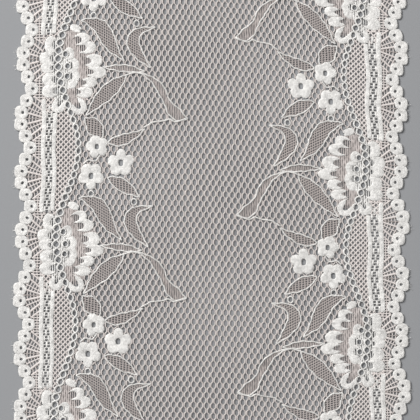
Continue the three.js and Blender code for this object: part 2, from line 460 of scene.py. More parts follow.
def leaf_field(row, u, v, stations=13):
    """How far a point is outside a leaf: its distance from the midrib less the half width there."""
    leaf = named(LEAF_COLUMNS, row)
    share = np.linspace(0, 1, stations)
    points, _ = midrib(row, share)
    found = np.full(np.shape(u), np.inf)
    for start, end, low, high in zip(points[:-1], points[1:], share[:-1], share[1:]):
        along = end - start
        t = np.clip(((u - start[0]) * along[0] + (v - start[1]) * along[1]) / (along @ along), 0, 1)
        away = np.hypot(u - start[0] - t * along[0], v - start[1] - t * along[1])
        half = leaf["width"] / 2 * hump(low + t * (high - low), leaf["width_at"])
        found = np.minimum(found, away - half)
    return found


def oval_field(u, v, centre, reach):
    """How far a point is outside an ellipse, as its scaled distance times the lesser half axis."""
    return (np.hypot((u - centre[0]) / reach[0], (v - centre[1]) / reach[1]) - 1) * min(reach)


def bright_field(u, v, repeat):
    """How far a point is inside a bloom's bright part: on the edge's side of the chain, or in its heart."""
    return np.maximum(chain_u(v, repeat) - u, -oval_field(u, v, BRIGHT_HEART, BRIGHT_REACH))


def petal_reach(angle, turn):
    """Share of the radius that a five-petalled outline reaches.

    It falls in rectified cosine arches, one to a petal, by a notch that is deeper on the first petal's side.
    """
    arch = np.abs(np.cos(FLOWER_PETALS * (angle - turn) / 2))
    notch = PETAL_NOTCH + FIRST_PETAL_NOTCH * np.sqrt(np.clip(np.cos(angle - turn), 0, 1))
    return 1 - notch * (1 - arch**PETAL_ROUNDNESS)


def flower_field(row, u, v):
    """How far a point is outside a small flower, along the ray from its eye."""
    flower = named(FLOWER_COLUMNS, row)
    du, dv = u - flower["u"], v - flower["v"]
    reach = petal_reach(np.arctan2(dv, du), np.radians(flower["turn"]))
    return np.hypot(du, dv) - flower["radius"] * reach


def chain_u(v, repeat):
    """The eyelet chain's middle line: a cosine wave along the band."""
    return CHAIN_MEAN_U - CHAIN_SWING * np.cos(TURN * (v - CHAIN_NEAR_EDGE_V) / repeat)


def scallop_u(v, repeat):
    """The line through the centres of the edge loops.

    It is a power of rectified sine arches, one to a scallop, on a cosine wave, one to a repeat.
    """
    arch = np.abs(np.sin(np.pi * (v - TROUGH_V) * SCALLOPS_PER_REPEAT / repeat))
    sway = EDGE_SWAY * np.cos(TURN * (v - EDGE_SWAY_V) / repeat)
    return CREST_U + SCALLOP_DEPTH * (1 - arch**SCALLOP_POWER) + sway


def from_crest(v, repeat):
    """How far along the band a point is from the middle of its scallop."""
    scallop = repeat / SCALLOPS_PER_REPEAT
    return (v - TROUGH_V) % scallop - scallop / 2


def bar_sway(v, repeat):
    """How far the bars lean towards the band's middle: a cosine wave, one for each scallop."""
    return BAR_SWAY * np.cos(TURN * SCALLOPS_PER_REPEAT * from_crest(v, repeat) / repeat)


def loop_field(u, v, repeat):
    """How far a point is inside the row of edge loops: the distance from the nearest hole less LOOP_IN."""
    pitch = repeat / LOOPS_PER_REPEAT
    nearest = np.round((v - TROUGH_V) / pitch)
    found = np.full(np.shape(u), np.inf)
    for number in (nearest - 1, nearest, nearest + 1):
        centre_v = TROUGH_V + number * pitch
        found = np.minimum(found, np.hypot(u - scallop_u(centre_v, repeat), v - centre_v))
    return found - LOOP_IN


def loop_reach(angle):
    """Distance from a loop's hole to its rim, by angle from the band's outward direction.

    Outwards it is a squared oval, so that neighbours merge, and inwards a plain and lower one, so that a slit
    is left between neighbours.
    """
    outwards = np.cos(angle) > 0
    wide = np.where(outwards, LOOP_OUT, LOOP_IN)
    power = np.where(outwards, LOOP_SQUARENESS, PLAIN_OVAL)
    high = LOOP_HALF_HEIGHT + LOOP_HEIGHT_LEAN * np.tanh(LOOP_LEAN_STEEPNESS * np.cos(angle))
    oval = np.abs(np.cos(angle) / wide) ** power + np.abs(np.sin(angle) / high) ** power
    return oval ** (-1 / power)


def bloom_motif_field(u, v):
    """How far a point is outside a bloom with its petals."""
    petals = [petal_field(row, u, v) for row in PETALS.values()]
    return np.minimum.reduce([oval_field(u, v, BLOOM_HEART, BLOOM_REACH)] + petals)


def spray_field(u, v):
    """How far a point is outside every motif of one spray: the least of the motifs' own fields.

    Points outside the box round the spray are all left at FAR_OUTSIDE.
    """
    found = np.full(np.shape(u), FAR_OUTSIDE)
    near = (u > SPRAY_BOX[0]) & (u < SPRAY_BOX[1]) & (v > SPRAY_BOX[2]) & (v < SPRAY_BOX[3])
    u, v = u[near], v[near]
    leaves = [leaf_field(row, u, v) for row in LEAVES.values()]
    flowers = [flower_field(row, u, v) for row in SMALL_FLOWERS]
    rings = [np.hypot(u - ring[0], v - ring[1]) - SMALL_RING_RADIUS for ring in SMALL_RINGS]
    found[near] = np.minimum.reduce(leaves + flowers + rings + [bloom_motif_field(u, v)])
    return found


def both_sides(held):
    """The two sides of the band, as (mirror, y of one bloom's heart)."""
    return (1, held["left_bloom"]), (-1, held["left_bloom"] + held["right_slide"])


def placements(held):
    """Every spray that reaches the cut length, as (mirror, y of its heart)."""
    repeat = held["repeat_length"]
    limit = held["band_length"] / 2 + SPRAY_REACH
    found = []
    for mirror, first in both_sides(held):
        most = int((limit + abs(first)) / repeat) + 1
        places = [first + number * repeat for number in range(-most, most + 1)]
        found += [(mirror, place) for place in places if abs(place) < limit]
    return found


def span(held, first):
    """The range of v, from one bloom's heart, that covers the cut length."""
    half = held["band_length"] / 2
    return -half - first - KNIT_MARGIN, half - first + KNIT_MARGIN


def side_rise(u, mirror):
    """How far a spray is moved up the band: nothing on the left, and an even slope past RISE_FROM_U."""
    return RIGHT_RISE * np.maximum(u - RISE_FROM_U, 0) * (mirror < 0)


def to_spray(held, x, y, mirror, place):
    """Band coordinates to a spray's own."""
    u = mirror * x - held["heart_x"]
    return u, y - place - side_rise(u, mirror)


def to_band(held, points, mirror, place):
    """A spray's own coordinates to the band's."""
    u, v = points.T
    return np.column_stack((mirror * (u + held["heart_x"]), v + place + side_rise(u, mirror)))


def end_field(held, y):
    """How far a point is inside the cut length, with a margin that the cut takes off."""
    return held["band_length"] / 2 + END_MARGIN - np.abs(y)


class Strands:
    """A growing set of strands: centre points, half widths, half heights and the number of points in each."""

    def __init__(self):
        self.parts = []

    def add(self, plane, z, half_width, half_height, counts=None):
        """Adds strands whose points follow one another in plane, with counts points each."""
        count = len(plane)
        points = np.column_stack((plane, np.broadcast_to(z, count)))
        halves = [np.broadcast_to(half, count).astype(float) for half in (half_width, half_height)]
        self.parts.append((points, *halves, [count] if counts is None else counts))

    def arrays(self):
        """All strands as four joined arrays."""
        return tuple(np.concatenate(column) for column in zip(*self.parts))


def quads_between(here, there, corners):
    """Quads between neighbouring rings of corners, from the numbers of the rings' first points."""
    here, there = here[:, None], there[:, None]
    step = np.arange(corners)
    turn = (step + 1) % corners
    return np.stack((here + step, here + turn, there + turn, there + step), axis=-1).reshape(-1, 4)


def swept(strands, corners=4, flatness=1.0, first_corner=0.25):
    """A profile carried along each strand: a ring of corners at every centre point, square to the path.

    The ring is an oval whose cosine and sine are raised to flatness, so that below 1 it is squared off to a
    band. Its first corner stands at a share of a turn, and four corners from 0.125 make a box. The ends are
    left open for close_ends. Returns the points, and faces as quads.
    """
    centre, half_width, half_height, counts = strands.arrays()
    total = len(centre)
    last = np.cumsum(counts) - 1
    first = last - counts + 1
    strand = np.repeat(np.arange(len(counts)), counts)
    number = np.arange(total)
    before = np.maximum(number - 1, first[strand])
    after = np.minimum(number + 1, last[strand])
    tangent = centre[after] - centre[before]
    flat = np.hypot(tangent[:, 0], tangent[:, 1])
    flat[flat == 0] = 1
    side = np.column_stack((-tangent[:, 1] / flat, tangent[:, 0] / flat, np.zeros(total)))
    angle = TURN * (np.arange(corners) / corners + first_corner)
    ring = np.stack((np.cos(angle), np.sin(angle)))
    ring = np.sign(ring) * np.abs(ring) ** flatness
    wide, high = ring / ring.max(axis=1, keepdims=True)
    points = centre[:, None, :] + wide[None, :, None] * (side * half_width[:, None])[:, None, :]
    points[:, :, 2] += high[None, :] * half_height[:, None]
    joined = np.flatnonzero(number != last[strand]) * corners
    return points.reshape(-1, 3), quads_between(joined, joined + corners, corners)


def kept_runs(x, y, field, carried=None):
    """Cuts strands, given as (strand, sample) arrays, to where field(x, y) is above zero.

    The first sample outside moves to the crossing. Returns the points, the points in each run, their strands
    and, for each point, the carried value.
    """
    value = field(x, y)
    inside = value > 0
    valid = inside[:, 1:] | inside[:, :-1]
    x, y = x.copy(), y.copy()
    for outer, inner in ((np.s_[:, 1:], np.s_[:, :-1]), (np.s_[:, :-1], np.s_[:, 1:])):
        crossing = ~inside[outer] & inside[inner]
        share = value[inner] / np.where(crossing, value[inner] - value[outer], 1)
        x[outer] = np.where(crossing, x[inner] + share * (x[outer] - x[inner]), x[outer])
        y[outer] = np.where(crossing, y[inner] + share * (y[outer] - y[inner]), y[outer])
    closed = np.zeros((len(valid), 1), bool)
    leads = np.hstack((valid, closed))
    trails = np.hstack((closed, valid))
    starts = leads & ~trails
    picked = (leads | trails).ravel()
    run = np.cumsum(starts.ravel()) - 1
    strand = np.repeat(np.arange(len(x)), x.shape[1])
    counts = np.bincount(run[picked])
    carried = np.zeros(x.shape) if carried is None else carried
    plane = np.column_stack((x.ravel()[picked], y.ravel()[picked]))
    return plane, counts, strand[picked], carried.ravel()[picked]


def net_strands(x_range, y_range, pitch, course, swing, wave, phase=np.zeros_like):
    """Columns of a knitted net as (strand, sample) arrays of x, y and the column's lean from -1 to 1.

    A column leans from side to side along y, once in a course, and neighbours lean by turns, so that a gap
    opens between them and closes again. wave lists (angle in degrees, lean) over one course, and phase(x)
    slides a column along y.
    """
    columns = np.arange(np.floor(x_range[0] / pitch), np.ceil(x_range[1] / pitch) + 1)
    middle = columns[:, None] * pitch
    angle, lean = np.transpose(wave)
    slide = phase(middle) + columns[:, None] * course / 2
    start = slide + course * np.floor((y_range[0] - slide) / course)
    courses = int(np.ceil((y_range[1] - y_range[0]) / course)) + 1
    steps = (np.arange(courses)[:, None] + angle / 360).ravel() * course
    lean = np.broadcast_to(np.tile(lean, courses), (len(columns), len(steps)))
    return middle + swing * lean, start + steps, lean


def waves(table, x, y):
    """The sum of a table's sine waves at points of the band."""
    rows = [named(WAVE_COLUMNS, row) for row in table]
    return sum(row["height"] * np.sin(x / row["across"] + y / row["along"] + row["start"]) for row in rows)


def lie(points):
    """How the band lies, for points in millimetres.

    It spreads evenly towards its lower end, most in the middle of the net, which also lies a little longer
    between the cut ends. It is shorter towards its right side, where one sine wave across the ladder
    stretches it. Slow waves of a few hundredths to a few tenths of a millimetre go over it in all directions.
    """
    held = sizes()
    x, y, z = points.T
    place = np.clip(2 * x / held["band_width"], -1, 1)
    middle = (1 - place**2) ** MIDDLE_FLARE_POWER
    flare = held["flare"] + held["middle_flare"] * middle
    flared = x * (1 - flare * y / held["band_length"])
    rightness = ((1 + place) / 2) ** SQUEEZE_POWER
    squeezed = y - held["right_squeeze"] * rightness * (y - SQUEEZE_CENTRE_Y * rightness)
    ladder_x = -held["heart_x"] - LADDER_U
    from_ladder = np.clip((x - ladder_x) / RIGHT_LADDER_REACH, -1, 1)
    flared = flared + RIGHT_LADDER_STRETCH * np.sin(np.pi * from_ladder)
    laid_x = flared + waves(DRIFT_ACROSS, x, y)
    between_ends = 1 - (2 * y / held["band_length"]) ** 2
    stretch = MIDDLE_STRETCH * middle * between_ends * (y + MIDDLE_SLANT * place)
    laid_y = squeezed + stretch + waves(DRIFT_ALONG, x, y)
    return np.column_stack((laid_x, laid_y, z + LIFT_MEAN + waves(LIFT, x, y)))


def close_ends(mesh, half_length):
    """Cuts a mesh straight across at both ends of the length. Closes the cuts and all open strand ends."""
    work = bmesh.new()
    work.from_mesh(mesh)
    for hand in (-1, 1):
        geometry = work.verts[:] + work.edges[:] + work.faces[:]
        place = (0, hand * half_length, 0)
        bmesh.ops.bisect_plane(
            work, geom=geometry, dist=CUT_TOLERANCE, plane_co=place, plane_no=(0, hand, 0), clear_outer=True
        )
    rims = [edge for edge in work.edges if edge.is_boundary]
    bmesh.ops.holes_fill(work, edges=rims, sides=0)
    work.to_mesh(mesh)
    work.free()


def piece(name, corners, faces, material, smooth=True):
    """Makes one mesh object from arrays in millimetres, cut at the ends and laid as the band lies."""
    held = sizes()
    mesh = bpy.data.meshes.new(name)
    mesh.vertices.add(len(corners))
    mesh.vertices.foreach_set("co", corners.astype(np.float32).ravel())
    mesh.loops.add(faces.size)
    mesh.loops.foreach_set("vertex_index", faces.astype(np.int32).ravel())
    mesh.polygons.add(len(faces))
    mesh.polygons.foreach_set("loop_start", np.arange(0, faces.size, faces.shape[1], dtype=np.int32))
    mesh.update(calc_edges=True)
    close_ends(mesh, held["band_length"] / 2)
    flat = np.empty(3 * len(mesh.vertices), np.float32)
    mesh.vertices.foreach_get("co", flat)
    laid = lie(flat.reshape(-1, 3).astype(float)) * MM
    mesh.vertices.foreach_set("co", laid.astype(np.float32).ravel())
    mesh.polygons.foreach_set("use_smooth", np.full(len(mesh.polygons), smooth))
    mesh.update()
    mesh.materials.append(material)
    made = bpy.data.objects.new(name, mesh)
    bpy.context.scene.collection.objects.link(made)
    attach(made, "root")
    return made


def joined_arrays(*parts):
    """Joins sets of (corners, faces) into one."""
    shift = np.cumsum([0] + [len(corners) for corners, _ in parts[:-1]])
    corners = np.concatenate([corners for corners, _ in parts])
    return corners, np.concatenate([faces + start for (_, faces), start in zip(parts, shift)])


def add_node(nodes, kind, values=None, **settings):
    """Adds a node with its settings, such as its operation, and values in its inputs by name or number."""
    made = nodes.new(kind)
    for name, setting in settings.items():
        setattr(made, name, setting)
    for socket, value in (values or {}).items():
        made.inputs[socket].default_value = value
    return made


def fibre_group():
    """A node group for knitted yarn: uneven tone with painted shade between stitches, roughness, and the
    height of twisted fibres and stitches.

    The height is fine noise less the distance from the nearest stitch, and the roughness follows that noise.
    The colour is multiplied by 1 and the strength times a sum: broad noise, less the balance, and the gap
    shade times that distance, which is painted shade that darkens the yarn between stitches.
    """
    name = "fibre grain"
    if name in bpy.data.node_groups:
        return bpy.data.node_groups[name]
    group = bpy.data.node_groups.new(name, "ShaderNodeTree")
    sockets = (
        ("Colour", "INPUT", "NodeSocketColor"),
        ("Stitch size", "INPUT", "NodeSocketFloat"),
        ("Tone and shade strength", "INPUT", "NodeSocketFloat"),
        ("Colour", "OUTPUT", "NodeSocketColor"),
        ("Height", "OUTPUT", "NodeSocketFloat"),
        ("Roughness", "OUTPUT", "NodeSocketFloat"),
    )
    for label, way, kind in sockets:
        group.interface.new_socket(name=label, in_out=way, socket_type=kind)
    nodes = group.nodes
    given = nodes.new("NodeGroupInput").outputs
    result = nodes.new("NodeGroupOutput").inputs
    place = nodes.new("ShaderNodeTexCoord").outputs["Object"]
    stitches = add_node(nodes, "ShaderNodeVectorMath", operation="DIVIDE")
    loops = add_node(nodes, "ShaderNodeTexVoronoi", {"Scale": 1.0}, feature="SMOOTH_F1")
    fibres = add_node(nodes, "ShaderNodeTexNoise", {"Scale": FIBRE_SCALE, "Detail": FIBRE_DETAIL})
    patches = add_node(nodes, "ShaderNodeTexNoise", {"Scale": PATCH_SCALE, "Detail": PATCH_DETAIL})
    raised = add_node(nodes, "ShaderNodeMath", {1: -1.0}, operation="MULTIPLY_ADD")
    spread = add_node(nodes, "ShaderNodeMath", {1: TONE_BALANCE}, operation="SUBTRACT")
    # Painted shade between stitches: the colour darkens with the distance from the nearest stitch, on top of
    # the broad tone noise.
    tone_and_gap_shade = add_node(nodes, "ShaderNodeMath", {1: STITCH_GAP_PAINTED_SHADE}, operation="MULTIPLY_ADD")
    scaled = add_node(nodes, "ShaderNodeMath", {2: 1.0}, operation="MULTIPLY_ADD")
    toned = add_node(nodes, "ShaderNodeVectorMath", operation="SCALE")
    rough = add_node(nodes, "ShaderNodeMapRange", {"To Min": LEAST_ROUGHNESS, "To Max": MOST_ROUGHNESS})
    wires = (
        (place, stitches.inputs[0]),
        (given["Stitch size"], stitches.inputs[1]),
        (stitches.outputs["Vector"], loops.inputs["Vector"]),
        (place, fibres.inputs["Vector"]),
        (place, patches.inputs["Vector"]),
        (loops.outputs["Distance"], raised.inputs[0]),
        (fibres.outputs["Fac"], raised.inputs[2]),
        (raised.outputs["Value"], result["Height"]),
        (patches.outputs["Fac"], spread.inputs[0]),
        (loops.outputs["Distance"], tone_and_gap_shade.inputs[0]),
        (spread.outputs["Value"], tone_and_gap_shade.inputs[2]),
        (tone_and_gap_shade.outputs["Value"], scaled.inputs[0]),
        (given["Tone and shade strength"], scaled.inputs[1]),
        (given["Colour"], toned.inputs[0]),
        (scaled.outputs["Value"], toned.inputs["Scale"]),
        (toned.outputs["Vector"], result["Colour"]),
        (fibres.outputs["Fac"], rough.inputs["Value"]),
        (rough.outputs["Result"], result["Roughness"]),
    )
    for source, target in wires:
        group.links.new(source, target)
    return group


def yarn_material(name, colour, stitch, tone_and_shade_strength, bump):
    """A yarn finish: a soft rough surface with a little sheen, and from the fibre group its tone with painted
    shade between stitches, and its stitches.
    """
    if name in bpy.data.materials:
        return bpy.data.materials[name]
    material = bpy.data.materials.new(name)
    material.use_nodes = True
    nodes = material.node_tree.nodes
    shader = nodes["Principled BSDF"]
    shader.inputs["Sheen Weight"].default_value = SHEEN
    shader.inputs["Sheen Roughness"].default_value = SHEEN_ROUGHNESS
    shader.inputs["Specular IOR Level"].default_value = SPECULAR
    # The strength scales both the uneven tone and the painted shade between stitches.
    grain = {"Colour": (*colour, 1), "Stitch size": stitch, "Tone and shade strength": tone_and_shade_strength}
    fibre = add_node(nodes, "ShaderNodeGroup", grain, node_tree=fibre_group())
    relief = add_node(nodes, "ShaderNodeBump", {"Strength": bump, "Distance": RELIEF_DEPTH})
    wires = (
        (fibre.outputs["Colour"], shader.inputs["Base Color"]),
        (fibre.outputs["Roughness"], shader.inputs["Roughness"]),
        (fibre.outputs["Height"], relief.inputs["Height"]),
        (relief.outputs["Normal"], shader.inputs["Normal"]),
    )
    for source, target in wires:
        material.node_tree.links.new(source, target)
    return material


def dense_yarn():
    """The bright bulky yarn of the motifs, with clear stitches and painted shade between them."""
    colour = bpy.context.scene.lace_colours.dense
    return yarn_material("dense yarn", colour, stitch=0.0009, tone_and_shade_strength=0.6, bump=1.0)


def net_yarn():
    """The thin yarn of the open nets."""
    colour = bpy.context.scene.lace_colours.net
    return yarn_material("net yarn", colour, stitch=0.0004, tone_and_shade_strength=0.2, bump=0.4)


def sheer_yarn():
    """The fine, darker yarn inside the leaves."""
    colour = bpy.context.scene.lace_colours.sheer
    return yarn_material("sheer yarn", colour, stitch=0.0004, tone_and_shade_strength=0.2, bump=0.4)


def veil_yarn():
    """The fine yarn inside the blooms, uneven in tone, with the strongest painted shade between its stitches.
    """
    colour = bpy.context.scene.lace_colours.veil
    return yarn_material("veil yarn", colour, stitch=0.0012, tone_and_shade_strength=0.8, bump=0.4)


def net_field(held):
    """A field above zero on the open net: between the two eyelet chains and outside every motif."""
    sprays = placements(held)

    def field(x, y):
        parts = [end_field(held, y)]
        for mirror, first in both_sides(held):
            u, v = to_spray(held, x, y, mirror, first)
            parts.append(u - chain_u(v, held["repeat_length"]) - EYELET_HALF_WIDTH * NET_AT_CHAIN)
        for mirror, place in sprays:
            parts.append(spray_field(*to_spray(held, x, y, mirror, place)))
        return np.minimum.reduce(parts)

    return field


class LACE_OT_ground_net(Operator):
    bl_idname = "lace.ground_net"
    bl_label = "Open net"

    row_drop = 0.07
    row_bow = 0.001
    join_width = 1.25
    swing = 0.32
    rise = 0.22
    profile_corners = 3
    yarn_share = 0.42
    wave = ((56, 1), (74, 0.7), (106, -0.7), (124, -1), (236, -1), (254, -0.7), (286, 0.7), (304, 1))

    def execute(self, context):
        held = sizes()
        strand = held["net_strand"]
        reach = held["band_width"] / 2

        def phase(x):
            return -self.row_drop * x - self.row_bow * x**2

        x, y, lean = net_strands(
            (-reach, reach),
            span(held, 0),
            held["net_pitch"],
            held["net_course"],
            self.swing,
            self.wave,
            phase,
        )
        plane, counts, column, lean = kept_runs(x, y, net_field(held), lean)
        width = strand * (1 + (self.join_width - 1) * lean**2)
        strands = Strands()
        strands.add(plane, NET_Z + NET_STAGGER * (column % 2), width / 2, self.rise, counts)
        made = piece("open_net", *swept(strands, self.profile_corners), net_yarn())
        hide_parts(NODE)
        return {"FINISHED"}


class LACE_OT_side_nets(Operator):
    """Knits the fine net beside each eyelet chain and the fans inside each scallop"""

    bl_idname = "lace.side_nets"
    bl_label = "Side nets and fans"

    pitch = 0.975
    course = 1.99
    strand = 0.59
    swing = 0.26
    rise = 0.18
    wave = ((45, 1), (135, -1), (225, -1), (315, 1))
    column_pitch = 1.3
    column_start = 0.45
    column_numbers = (-4, 12)
    column_width = 0.4
    column_step = 0.7
    cross_pitch = 1.03
    cross_width = 0.46
    fan_depth = 8.0
    tuck = 0.4
    slit = 1.3
    bow_depth = 3.0
    bow_reach = 7.5
    column_sway = 0.05
    column_turns = (5.0, 2.3)
    spoke_root = -4.0
    spoke_points = 14
    spoke_lift = 0.08
    cross_lift = 0.05
    spoke_columns = ("slope", "start", "width")
    spokes = (
        (0.0, 0.0, 0.4),
        (0.27, 0.42, 0.95),
        (0.47, 1.38, 0.5),
        (0.8, 2.75, 0.95),
        (0.77, 5.46, 0.75),
    )

    def execute(self, context):
        held = sizes()
        strands = Strands()
        for mirror, first in both_sides(held):
            self.side_net(held, strands, mirror, first)
            self.fans(held, strands, mirror, first)
        piece("side_nets", *swept(strands), net_yarn())
        return {"FINISHED"}

    def outside_blooms(self, held, u, v):
        """How far a point is outside the nearest bloom of its side."""
        repeat = held["repeat_length"]
        return bloom_motif_field(u, (v + repeat / 2) % repeat - repeat / 2)

    def bar_at(self, held, number, v):
        """A bar's place across the band, and whether it is unbroken there."""
        bar = named(BAR_COLUMNS, BAR_ROWS[number])
        repeat = held["repeat_length"]
        along = (v - bar["broken_above"]) % repeat
        return bar["u"] + bar_sway(v, repeat), along < repeat + bar["broken_below"] - bar["broken_above"]

    def side_net(self, held, strands, mirror, first):
        """The fine net from the inner bar, or the outer one where that is broken, to the chain."""
        repeat = held["repeat_length"]

        def field(u, v):
            chain = chain_u(v, repeat) - EYELET_HALF_WIDTH * SIDE_NET_AT_CHAIN - u
            inner, unbroken = self.bar_at(held, 1, v)
            outer, _ = self.bar_at(held, 0, v)
            edge = u - np.where(unbroken, inner, outer)
            blooms = self.outside_blooms(held, u, v)
            return np.minimum.reduce((chain, edge, blooms, end_field(held, v + first)))

        u, v, _ = net_strands(
            (OUTER_BAR_U - self.pitch, CHAIN_MEAN_U + CHAIN_SWING),
            span(held, first),
            self.pitch,
            self.course,
            self.swing,
            self.wave,
        )
        plane, counts, column, _ = kept_runs(u, v, field)
        z = NET_Z + NET_STAGGER * (column % 2)
        strands.add(to_band(held, plane, mirror, first), z, self.strand / 2, self.rise, counts)

    def fans(self, held, strands, mirror, first):
        """Columns along the bar, bowed outwards at each crest by a half cosine wave, and spokes across them.

        The spokes spread from the bar at each crest. Close cross strands fill the corner beyond the last.
        """
        repeat = held["repeat_length"]
        outer_slope, outer_start, _ = self.spokes[-1]

        def zone(u, v):
            bar, unbroken = self.bar_at(held, 0, v)
            limit = np.where(unbroken, bar, CHAIN_MEAN_U)
            loops = np.minimum(loop_field(u, v, repeat) + self.tuck, u - scallop_u(v, repeat) - self.slit)
            blooms = self.outside_blooms(held, u, v)
            return np.minimum.reduce((loops, limit - u, blooms, end_field(held, v + first)))

        def depth(u):
            return OUTER_BAR_U - u

        def corner(u, v):
            away = np.abs(from_crest(v, repeat))
            return np.minimum(zone(u, v), away - outer_start - outer_slope * depth(u))

        def add(u, v, field, width, z):
            plane, counts, _, _ = kept_runs(u, v, field)
            strands.add(to_band(held, plane, mirror, first), z, width / 2, self.rise, counts)

        low, high = span(held, first)
        v = np.arange(low, high, self.column_step)[None, :]
        numbers = np.arange(*self.column_numbers)[:, None]
        u = OUTER_BAR_U - self.column_pitch * (numbers + self.column_start)
        away = np.clip(np.abs(from_crest(v, repeat)) / self.bow_reach, 0, 1)
        bow = self.bow_depth * (1 - np.cos(np.pi * away)) / 2
        turns_across, turns_along = self.column_turns
        wander = self.column_sway * np.sin(turns_along * v + turns_across * u)
        add(u + bow + bar_sway(v, repeat) + wander, v + 0 * u, zone, self.column_width, NET_Z)
        reach = np.linspace(self.spoke_root, self.fan_depth, self.spoke_points)[None, :]
        rows = np.arange(low, high, self.cross_pitch)[:, None]
        across = OUTER_BAR_U - reach + 0 * rows
        add(across, rows + 0 * reach, corner, self.cross_width, NET_Z + self.cross_lift)
        scallop = repeat / SCALLOPS_PER_REPEAT
        crests = np.arange(np.floor((low - TROUGH_V) / scallop), (high - TROUGH_V) / scallop) + 0.5
        middles = (TROUGH_V + crests * scallop)[:, None]
        for row in self.spokes:
            spoke = named(self.spoke_columns, row)
            for hand in (-1, 1):
                rows = middles + hand * (spoke["start"] + spoke["slope"] * reach)
                add(OUTER_BAR_U - reach + 0 * rows, rows, zone, spoke["width"], NET_Z + self.spoke_lift)


class LACE_OT_leaf_fill(Operator):
    """Knits the crossed yarns inside the leaves and the stripes inside stem, stalk, blade and bloom"""

    bl_idname = "lace.leaf_fill"
    bl_label = "Leaf and bloom fill"

    stripe_step = 0.7
    edge_stations = 9
    fill_margin = 1.0
    bloom_range_u = (-14, 16)
    bloom_range_v = (-24, 20)
    bloom_pitch = 0.8
    bloom_widths = (0.3, 0.65)
    tick_reach = 3.0
    tick_spread = 0.7
    stripe_sway = 0.05
    stripe_turns = (3.3, 2.1)
    fill_rise = 0.14
    row_lift = 0.05
    bloom_rise = 0.05
    bloom_stagger = 0.02
    box_corner = 0.125

    def execute(self, context):
        held = sizes()
        for name, striped, yarn in (("leaf_fill", False, sheer_yarn()), ("leaf_stripes", True, veil_yarn())):
            strands = Strands()
            rows = [row for row in LEAVES.values() if (row[-1] == "stripes") == striped]
            runs = [run for row in rows for run in self.leaf_runs(row)]
            for mirror, place in placements(held):
                for plane, counts, width, z in runs:
                    strands.add(to_band(held, plane, mirror, place), z, width / 2, self.fill_rise, counts)
            piece(name, *swept(strands), yarn)
        for name, hand, yarn in (("sheer", -1, veil_yarn()), ("bright", 1, dense_yarn())):
            strands = Strands()
            plane, counts, width, z = self.bloom_stripes(hand)
            for mirror, place in placements(held):
                strands.add(to_band(held, plane, mirror, place), z, width / 2, self.bloom_rise, counts)
            boxes = swept(strands, first_corner=self.box_corner)
            piece("bloom_fill_" + name, *boxes, yarn, smooth=False)
        return {"FINISHED"}

    def sway(self, u, v):
        """How far a stripe lies aside: a short sine wave along it, shifted from stripe to stripe."""
        turns_across, turns_along = self.stripe_turns
        return self.stripe_sway * np.sin(v * turns_along + u * turns_across)

    def leaf_runs(self, row):
        """The yarns inside a leaf, as (points, points in each run, width, height) for columns and rows."""
        fill = named(FILL_COLUMNS, LEAF_FILLS[named(LEAF_COLUMNS, row)["fill"]])
        share = np.linspace(0, 1, self.edge_stations)
        box = np.vstack((leaf_edge(row, share, 1), leaf_edge(row, share, -1)))
        low, high = box.min(axis=0) - self.fill_margin, box.max(axis=0) + self.fill_margin
        u = np.arange(low[0], high[0], fill["column_pitch"])[:, None]
        v = np.arange(low[1], high[1], self.stripe_step)[None, :]
        sets = [(u + self.sway(u, v), v + 0 * u, fill["column_width"], NET_Z)]
        if fill["row_pitch"]:
            across = np.arange(low[0], high[0], self.stripe_step)[None, :]
            fall = fill["row_slope"] * (across - low[0])
            start = np.arange(low[1], high[1] - fall.min(), fill["row_pitch"])[:, None]
            sets.append((across + 0 * start, start + fall, fill["row_width"], NET_Z + self.row_lift))
        found = []
        for u, v, width, z in sets:
            plane, counts, _, _ = kept_runs(u, v, lambda u, v: -leaf_field(row, u, v))
            found.append((plane, counts, width, z))
        return found

    def bloom_stripes(self, hand):
        """Stripes of the bloom, closed but for short gaps inside each petal's cap.

        hand is 1 for the bright part and -1 for the sheer one. Returns the points, the points in each run,
        their widths and their heights.
        """
        repeat = sizes()["repeat_length"]
        v = np.arange(*self.bloom_range_v, self.stripe_step)[None, :]
        u = np.arange(*self.bloom_range_u, self.bloom_pitch)[:, None]

        def inside(u, v):
            beside_chain = np.abs(u - chain_u(v, repeat)) - EYELET_HALF_WIDTH
            in_oval = -oval_field(u, v, BLOOM_HEART, BLOOM_REACH)
            parts = [in_oval, hand * bright_field(u, v, repeat), beside_chain]
            parts += [np.hypot(u - eye[0], v - eye[1]) - BLOOM_EYELET_RADIUS for eye in BLOOM_EYELETS]
            return np.minimum.reduce(parts)

        plane, counts, column, _ = kept_runs(u + self.sway(u, v), v + 0 * u, inside)
        ticks = np.maximum.reduce([self.tick_share(row, *plane.T) for row in PETALS.values()])
        near, far = self.bloom_widths
        return plane, counts, far + (near - far) * ticks, NET_Z + self.bloom_stagger * (column % 2)

    def tick_share(self, row, u, v):
        """1 within a petal's sheer inside and close to its cap, and 0 away from there."""
        axis, _, (base, length, _) = petal_shells(row)
        from_cap = length - (u - base[0]) * axis[0] - (v - base[1]) * axis[1]
        inside = petal_field(row, u, v, sheer=True) < self.tick_spread
        return np.clip(self.tick_reach - from_cap, 0, 1) * inside


def smooth_path(points, count):
    """A smooth curve through a few points: each stretch is the cubic of a Catmull-Rom spline."""
    knots = np.array(points, float)
    padded = np.vstack((2 * knots[0] - knots[1], knots, 2 * knots[-1] - knots[-2]))
    place = np.linspace(0, len(knots) - 1, count)
    stretch = np.minimum(place.astype(int), len(knots) - 2)
    t = (place - stretch)[:, None]
    a, b, c, d = (padded[stretch + k] for k in range(4))
    return 0.5 * (2 * b + (c - a) * t + (2 * a - 5 * b + 4 * c - d) * t**2 + (3 * (b - c) + d - a) * t**3)


def directions(count):
    """Angles round a full turn, and their unit directions."""
    angle = TURN * np.arange(count) / count
    return angle, np.column_stack((np.cos(angle), np.sin(angle)))


def circle(centre, radius_u, radius_v, count):
    """A closed ring of points that ends where it starts."""
    angle = np.linspace(0, TURN, count + 1)
    return np.column_stack((centre[0] + radius_u * np.cos(angle), centre[1] + radius_v * np.sin(angle)))


